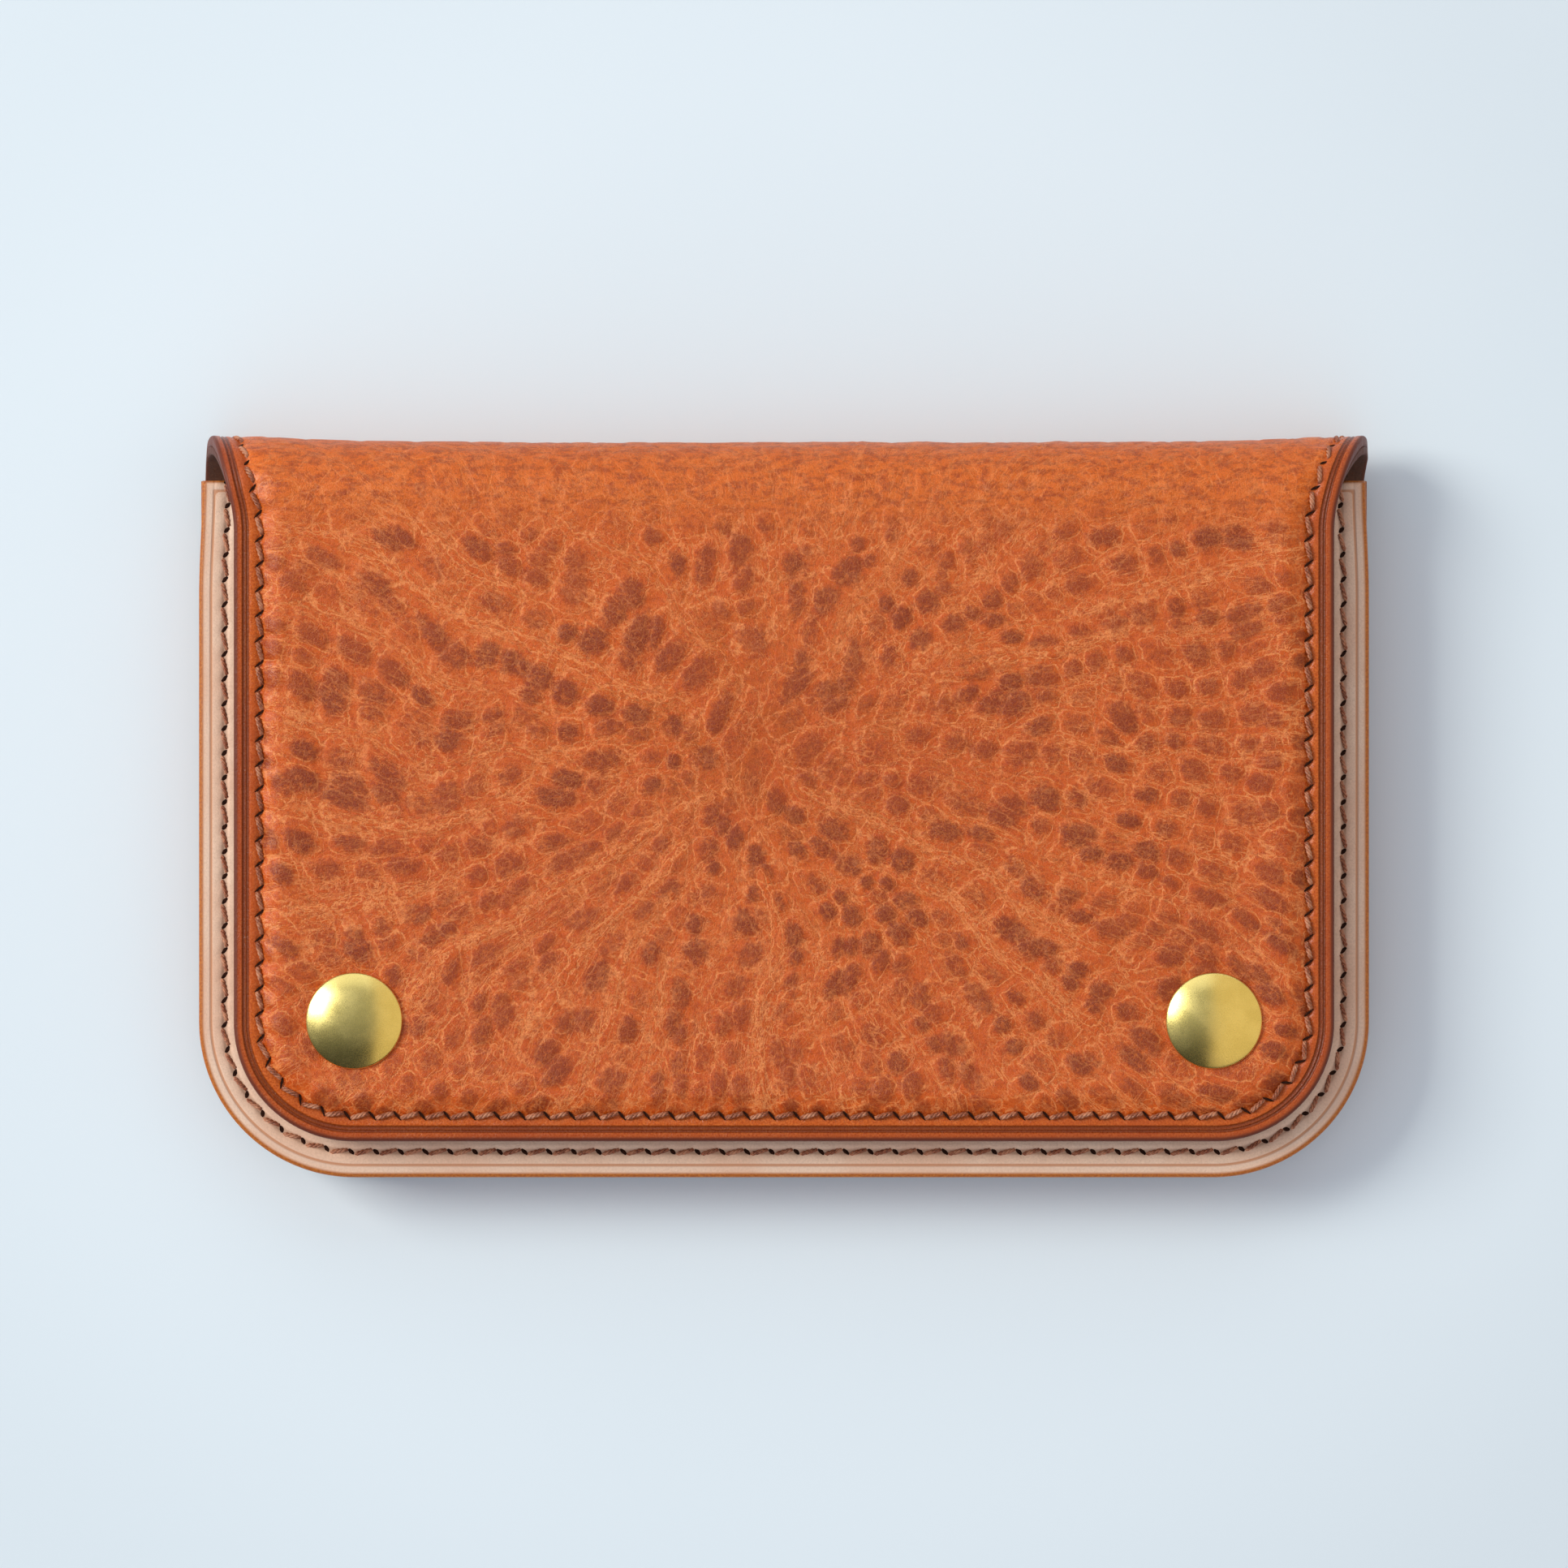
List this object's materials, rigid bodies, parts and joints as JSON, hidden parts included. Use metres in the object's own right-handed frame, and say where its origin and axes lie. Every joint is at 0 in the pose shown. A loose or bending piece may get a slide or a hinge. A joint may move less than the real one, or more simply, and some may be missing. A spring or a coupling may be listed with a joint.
{
  "type": "card holder",
  "caption": "Flap-over leather card holder with a gusseted pocket, a folded spine and two snap fasteners at the flap's corners.",
  "frame": {"origin": "centre of the outer box, on the flat back face that rests on the table", "axes": "+X along the fold, +Y towards the fold, +Z out of the flap's front"},
  "size_m": [0.12, 0.0764, 0.0147],
  "materials": {
    "shell_leather": "waxed pull-up with shrunken grain",
    "lining_leather": "smooth matte",
    "natural_leather": "smooth vegetable tanned",
    "thread": "waxed twisted thread",
    "snap_brass": "satin",
    "spring_steel": "bright wire"
  },
  "bodies": {
    "body": {"back_outer": "shell_leather", "back_lining": "lining_leather", "patch_pocket": "lining_leather", "gusset": "natural_leather", "front_panel": "natural_leather", "back_stitching": "thread", "front_stitching": "thread", "patch_stitching": "thread", "snap_stud_left": "snap_brass", "snap_stud_right": "snap_brass", "snap_eyelet_left": "snap_brass", "snap_eyelet_right": "snap_brass"},
    "fold_lower": {"fold_outer_lower": "shell_leather", "fold_lining_lower": "lining_leather", "fold_stitching_lower": "thread"},
    "fold_upper": {"fold_outer_upper": "shell_leather", "fold_lining_upper": "lining_leather", "fold_stitching_upper": "thread"},
    "flap": {"flap_outer": "shell_leather", "flap_lining": "lining_leather", "flap_stitching": "thread", "snap_cap_left": "snap_brass", "snap_cap_right": "snap_brass", "snap_socket_left": "snap_brass", "snap_socket_right": "snap_brass", "snap_spring_left": "spring_steel", "snap_spring_right": "spring_steel"}
  },
  "joints": [
    {"name": "fold_bend_lower", "type": "hinge", "parent": "body", "child": "fold_lower", "pos_m": [0, 0.03446, 0.00157], "axis": [-1, 0, 0], "range_deg": [0, 59.4], "deforming": ["fold_outer_lower", "fold_lining_lower", "fold_stitching_lower"]},
    {"name": "fold_bend_middle", "type": "hinge", "parent": "fold_lower", "child": "fold_upper", "pos_m": [0, 0.03736, 0.0066], "axis": [-1, 0, 0], "range_deg": [0, 59.4], "deforming": ["fold_outer_upper", "fold_lining_upper", "fold_stitching_upper"]},
    {"name": "fold_bend_upper", "type": "hinge", "parent": "fold_upper", "child": "flap", "pos_m": [0, 0.03446, 0.01163], "axis": [-1, 0, 0], "range_deg": [0, 59.4]}
  ],
  "couplings": [
    {"joint": "fold_bend_middle", "follows": "fold_bend_lower", "ratio": 1},
    {"joint": "fold_bend_upper", "follows": "fold_bend_lower", "ratio": 1}
  ]
}
